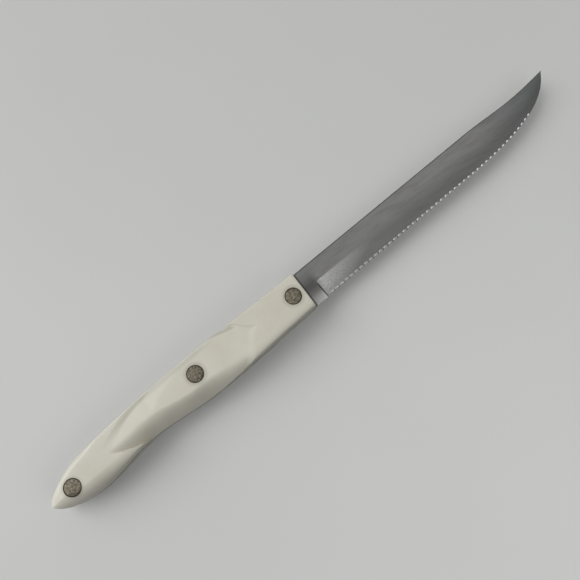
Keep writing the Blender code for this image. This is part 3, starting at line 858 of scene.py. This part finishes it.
# Painted shade on the resin.
PAINTED_HANDLE_SHADE = (0.25, 0.235, 0.19, 1)
SEAM_Z = (0.0009, 0.0013)
# How strongly the marked painted shade shows, rising towards the grip.
HANDLE_SHADE_X = (-0.080, -0.060)
# Painted shade over the butt.
BUTT_SHADE_X = (-0.084, -0.098)
# Painted shade in a ring round each rivet.
RIVET_SHADE_RING = (RIVET_HOLE_RADIUS, 0.0048)


def handle_shade_share(tree, x, y):
    """Share of painted shade: as marked, in a ring round each rivet, and over the butt."""
    # Painted shade as marked, stronger towards the grip.
    places = [combined(tree, "MULTIPLY", marked(tree, "handle_shade"), ranged(tree, x, *HANDLE_SHADE_X, 0.36, 0.52))]
    flat_place = add_node(tree, "CombineXYZ", {"X": x, "Y": y}).outputs[0]
    for rivet in RIVETS.values():
        away = add_node(tree, "VectorMath", {0: flat_place, 1: (*rivet, 0)}, operation="DISTANCE")
        # Painted shade in a ring round the rivet.
        places.append(ranged(tree, away.outputs["Value"], *RIVET_SHADE_RING, 0.45, 0.0))
    # Painted shade over the butt.
    places.append(ranged(tree, x, *BUTT_SHADE_X, 0.0, 0.14))
    return combined(tree, "MAXIMUM", *places)


def cream_resin():
    material, tree, shader = new_material("cream_resin")
    x, y, z = own_place(tree)
    cloud = place_effect(tree, mottle, patch=0.012, detail=5.0)
    grain = place_effect(tree, mottle, patch=0.0012, detail=3.0)
    scuffs = place_effect(tree, streaks, length=0.004, width=0.00012, turn=0.5)
    pores = place_effect(tree, specks, spacing=0.0016, size=0.16, share=0.25)
    colour = mixed(tree, ranged(tree, cloud, 0.3, 0.7), *RESIN)
    colour = mixed(tree, combined(tree, "MULTIPLY", pores, 0.35), colour, PORE)
    colour = mixed(tree, ranged(tree, distance_from(tree, z), *SEAM_Z, 0.8, 0.0), colour, SEAM_GRIME)
    # Painted shade mixed over the resin.
    colour = mixed(tree, handle_shade_share(tree, x, y), colour, PAINTED_HANDLE_SHADE)
    tree.links.new(colour, shader.inputs["Base Color"])
    rough = combined(tree, "ADD", ranged(tree, scuffs, 0.55, 0.75, 0.30, 0.44),
                     ranged(tree, cloud, 0.3, 0.7, 0.0, 0.10))
    tree.links.new(rough, shader.inputs["Roughness"])
    height = combined(tree, "SUBTRACT", combined(tree, "MULTIPLY", grain, 0.5), pores)
    bump = add_node(tree, "Bump", {"Strength": 0.1, "Distance": 0.00008, "Height": height})
    tree.links.new(bump.outputs[0], shader.inputs["Normal"])
    return material


def make_scale(name, side, material):
    """One handle half; side is 1 for the upper one and -1 for its mirror image below."""
    across = np.linspace(0, 1, 72)
    spread = (across + (1 - np.cos(math.pi * across)) / 2) / 2
    rim_share = np.linspace(1, 0, 26)[1:]
    inner = HALF_STEEL + SEAM
    rings, shade_marks = [], []
    for x in scale_stations():
        bottom = float(handle_bottom(x))
        top = float(handle_top(x) - notch(x))
        rim = min(RIM_WIDTH, (top - bottom) / 3)
        y = np.concatenate([bottom + (top - rim - bottom) * spread, top - rim * rim_share])
        z = scale_side(np.full_like(y, x), y)
        ease = min(SEAM_EASE, (top - bottom) / 4)
        y = np.concatenate([[bottom + ease, bottom], y, [top, top - ease]])
        z = np.concatenate([[inner, inner + SEAM_EASE], z, [inner + SEAM_EASE, inner]])
        # Painted shade marks for each point of the ring.
        shade_marks.append(handle_shade_marks(np.full_like(y, x), y))
        lean = FRONT_SLANT * max(0, 1 + x / SLANT_RUN) * (y - (top + bottom) / 2)
        rings.append(np.stack([x + lean, y, side * z], axis=1))
    piece = skin(name, rings)
    mark(piece, "handle_shade", np.concatenate(shade_marks))
    face_outwards(piece)
    drill(piece, RIVET_TUBE_RADIUS + RIVET_CLEARANCE, RIVET_HOLE_RADIUS)
    shade(piece, material, sharp_angle=32)
    return piece


resin = cream_resin()
for node, side in (("upper_scale", 1), ("lower_scale", -1)):
    scale = make_scale(node.replace("scale", "grip"), side, resin)
    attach(scale, "root")
    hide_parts(node)

# Rivets
# Three pairs in nickel silver, each a headed pin pressed into a headed tube through scales and tang.
# The heads are ground flush with the resin, tarnished and pitted, with grime in the groove round them.
PIN_RADIUS = 0.0012
TUBE_BORE = 0.0013
HEAD_BELOW_RESIN = 0.00004
GROOVE_WIDTH = 0.00035
GROOVE_DEPTH = 0.00022
FACE_CROWN = GROOVE_DEPTH / 8
FACE_RINGS = (0.96, 0.8, 0.6, 0.4, 0.2)
TARNISHED_METAL = ((0.053, 0.045, 0.031, 1), (0.27, 0.235, 0.17, 1))
PIT = (0.045, 0.038, 0.027, 1)
GROOVE_GRIME = (0.03, 0.025, 0.018, 1)


def nickel_silver():
    material, tree, shader = new_material("nickel_silver")
    tarnish = place_effect(tree, mottle, patch=0.0007, detail=5.0)
    pits = place_effect(tree, specks, spacing=0.0005, size=0.42, share=0.55)
    streaked = place_effect(tree, streaks, length=0.002, width=0.00007, turn=0.9)
    colour = mixed(tree, ranged(tree, tarnish, 0.35, 0.68), *TARNISHED_METAL)
    colour = mixed(tree, combined(tree, "MULTIPLY", pits, 0.7), colour, PIT)
    groove = combined(tree, "MULTIPLY", marked(tree, "groove"), 0.85)
    colour = mixed(tree, groove, colour, GROOVE_GRIME)
    tree.links.new(colour, shader.inputs["Base Color"])
    tree.links.new(ranged(tree, tarnish, 0.3, 0.7, 0.65, 0.45), shader.inputs["Roughness"])
    shader.inputs["Metallic"].default_value = 0.4
    height = combined(tree, "SUBTRACT", combined(tree, "MULTIPLY", streaked, 0.4), pits)
    bump = add_node(tree, "Bump", {"Strength": 0.3, "Distance": 0.00006, "Height": height})
    tree.links.new(bump.outputs[0], shader.inputs["Normal"])
    return material


def head_ring(x, y, radius, drop):
    """Ring on a rivet's face, following the contour of the resin round it."""
    ring = round_ring(x, y, radius, 0)
    ring[:, 2] = scale_side(ring[:, 0], ring[:, 1]) - HEAD_BELOW_RESIN - drop
    return ring


def make_rivet_half(name, x, y, side, material):
    """side 1 is the headed pin from above, side -1 the headed tube from below."""
    if side > 0:
        shank = [(PIN_RADIUS, RIVET_CLEARANCE - RIVET_SEAT_Z), (PIN_RADIUS, RIVET_SEAT_Z)]
    else:
        shank = [(TUBE_BORE, RIVET_SEAT_Z), (TUBE_BORE, RIVET_CLEARANCE - RIVET_SEAT_Z),
                 (RIVET_TUBE_RADIUS, RIVET_CLEARANCE - RIVET_SEAT_Z), (RIVET_TUBE_RADIUS, RIVET_SEAT_Z)]
    rings = [round_ring(x, y, *point) for point in shank]
    rings.append(round_ring(x, y, RIVET_HEAD_RADIUS, RIVET_SEAT_Z))
    face = RIVET_HEAD_RADIUS - GROOVE_WIDTH
    rings += [head_ring(x, y, RIVET_HEAD_RADIUS, GROOVE_DEPTH),
              head_ring(x, y, face + GROOVE_WIDTH / 3, GROOVE_DEPTH),
              head_ring(x, y, face, GROOVE_DEPTH / 3)]
    rings += [head_ring(x, y, face * share, FACE_CROWN * share) for share in FACE_RINGS]
    centre = float(scale_side(np.float64(x), np.float64(y))) - HEAD_BELOW_RESIN
    rings = [ring * (1, 1, side) for ring in rings]
    piece = skin(name, rings, (x, y, centre * side))
    in_groove = np.isin(np.arange(len(rings)), (len(shank) + 1, len(shank) + 2))
    mark(piece, "groove", np.append(np.repeat(in_groove, len(rings[0])), False))
    face_outwards(piece)
    shade(piece, material, sharp_angle=30)
    return piece


tarnished = nickel_silver()
for rivet, (x, y) in RIVETS.items():
    for half, side in (("male", 1), ("female", -1)):
        piece = make_rivet_half(f"{rivet}_{half}_head", x, y, side, tarnished)
        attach(piece, "root")
        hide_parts(f"{rivet}_{half}")

# Table, light and camera
# A plain pale table top.  A wide window lights table and handle from the left, helped by a small lamp
# overhead, a fill for the table alone and two strips that glance along the blade's edge.  The camera
# stands above the handle, and the knife lies across the picture.
TABLE_SIZE = 3.0
TABLE_GREY = ((0.405, 0.41, 0.40, 1), (0.43, 0.435, 0.425, 1))


def table_top():
    material, tree, shader = new_material("table_top")
    cloud = place_effect(tree, mottle, patch=0.25, detail=3.0)
    colour = mixed(tree, ranged(tree, cloud, 0.3, 0.7), *TABLE_GREY)
    tree.links.new(colour, shader.inputs["Base Color"])
    shader.inputs["Roughness"].default_value = 0.6
    return material


def make_table():
    half = TABLE_SIZE / 2
    mesh = bpy.data.meshes.new("table")
    corners = [(-half, -half, 0), (half, -half, 0), (half, half, 0), (-half, half, 0)]
    mesh.from_pydata(corners, [], [(0, 1, 2, 3)])
    mesh.materials.append(table_top())
    table = bpy.data.objects.new("table", mesh)
    bpy.context.scene.collection.objects.link(table)
    return table


def add_softbox(name, place, aim, size, watts):
    lamp = bpy.data.lights.new(name, "AREA")
    lamp.shape = "RECTANGLE"
    lamp.size, lamp.size_y = size
    lamp.energy = watts
    box = bpy.data.objects.new(name, lamp)
    box.location = place
    box.rotation_euler = (Vector(aim) - Vector(place)).to_track_quat("-Z", "Y").to_euler()
    bpy.context.scene.collection.objects.link(box)
    return box


LEFTWARD = (-0.4, 0.9, 0.0)
ROOM_LEVEL = (0.46, 0.28)
SIDE_LIGHT = (0.1, 1.9)


def surround():
    """Room light: paler low down, and stronger from the left.  Seen or reflected, both sides are even."""
    world = bpy.data.worlds.new("room")
    world.use_nodes = True
    tree = world.node_tree
    direction = add_node(tree, "TexCoord").outputs["Generated"]
    leftward = add_node(tree, "VectorMath", {0: direction, 1: LEFTWARD}, operation="DOT_PRODUCT")
    height = add_node(tree, "SeparateXYZ", {0: direction}).outputs["Z"]
    level = ranged(tree, height, 0.0, 1.0, *ROOM_LEVEL)
    tilt = ranged(tree, leftward.outputs["Value"], -1.0, 1.0, *SIDE_LIGHT)
    path = add_node(tree, "LightPath").outputs
    seen = combined(tree, "MAXIMUM", path["Is Camera Ray"], path["Is Glossy Ray"],
                    path["Is Transmission Ray"])
    tilt = ranged(tree, seen, 0.0, 1.0, tilt, 1.0)
    tree.links.new(combined(tree, "MULTIPLY", level, tilt), tree.nodes["Background"].inputs["Color"])
    return world


table = make_table()
left_window = add_softbox("left_window", (-1.26, 1.21, 1.64), (0, 0, 0), (2.1, 2.1), 58)
add_softbox("overhead", (0.08, -0.12, 0.60), (0, 0, 0), (0.16, 0.16), 0.12)
table_fill = add_softbox("table_fill", (0.25, -0.70, 0.60), (0, 0, 0), (0.8, 0.8), 4.8)
table_fill.data.use_shadow = False
edge_strip = add_softbox("edge_strip", (-0.40, -0.64, 0.24), (0.06, 0, 0), (0.7, 0.2), 0.85)
belly_strip = add_softbox("belly_strip", (0.55, -0.55, 0.22), (0.10, 0, 0), (0.3, 0.2), 0.18)
for lamp, piece, lit in ((left_window, blade, "EXCLUDE"), (table_fill, table, "INCLUDE"),
                         (edge_strip, blade, "INCLUDE"), (belly_strip, blade, "INCLUDE")):
    links = bpy.data.collections.new(lamp.name + "_links")
    links.objects.link(piece)
    links.collection_objects[0].light_linking.link_state = lit
    lamp.light_linking.receiver_collection = links
scene = bpy.context.scene
scene.world = surround()
scene.view_settings.view_transform = "Standard"

CAMERA_PLACE = Vector((-0.03424, -0.03136, 0.21592))
CAMERA_TILT = math.radians(12.5)
CAMERA_HEADING = math.radians(-40.27)
lens = bpy.data.cameras.new("camera")
lens.sensor_width = 36.0
lens.lens = 36.06
lens.clip_start = 0.005
camera = bpy.data.objects.new("camera", lens)
camera.location = KNIFE_PLACE + CAMERA_PLACE
camera.rotation_euler = (CAMERA_TILT, 0, CAMERA_HEADING)
scene.collection.objects.link(camera)
scene.camera = camera
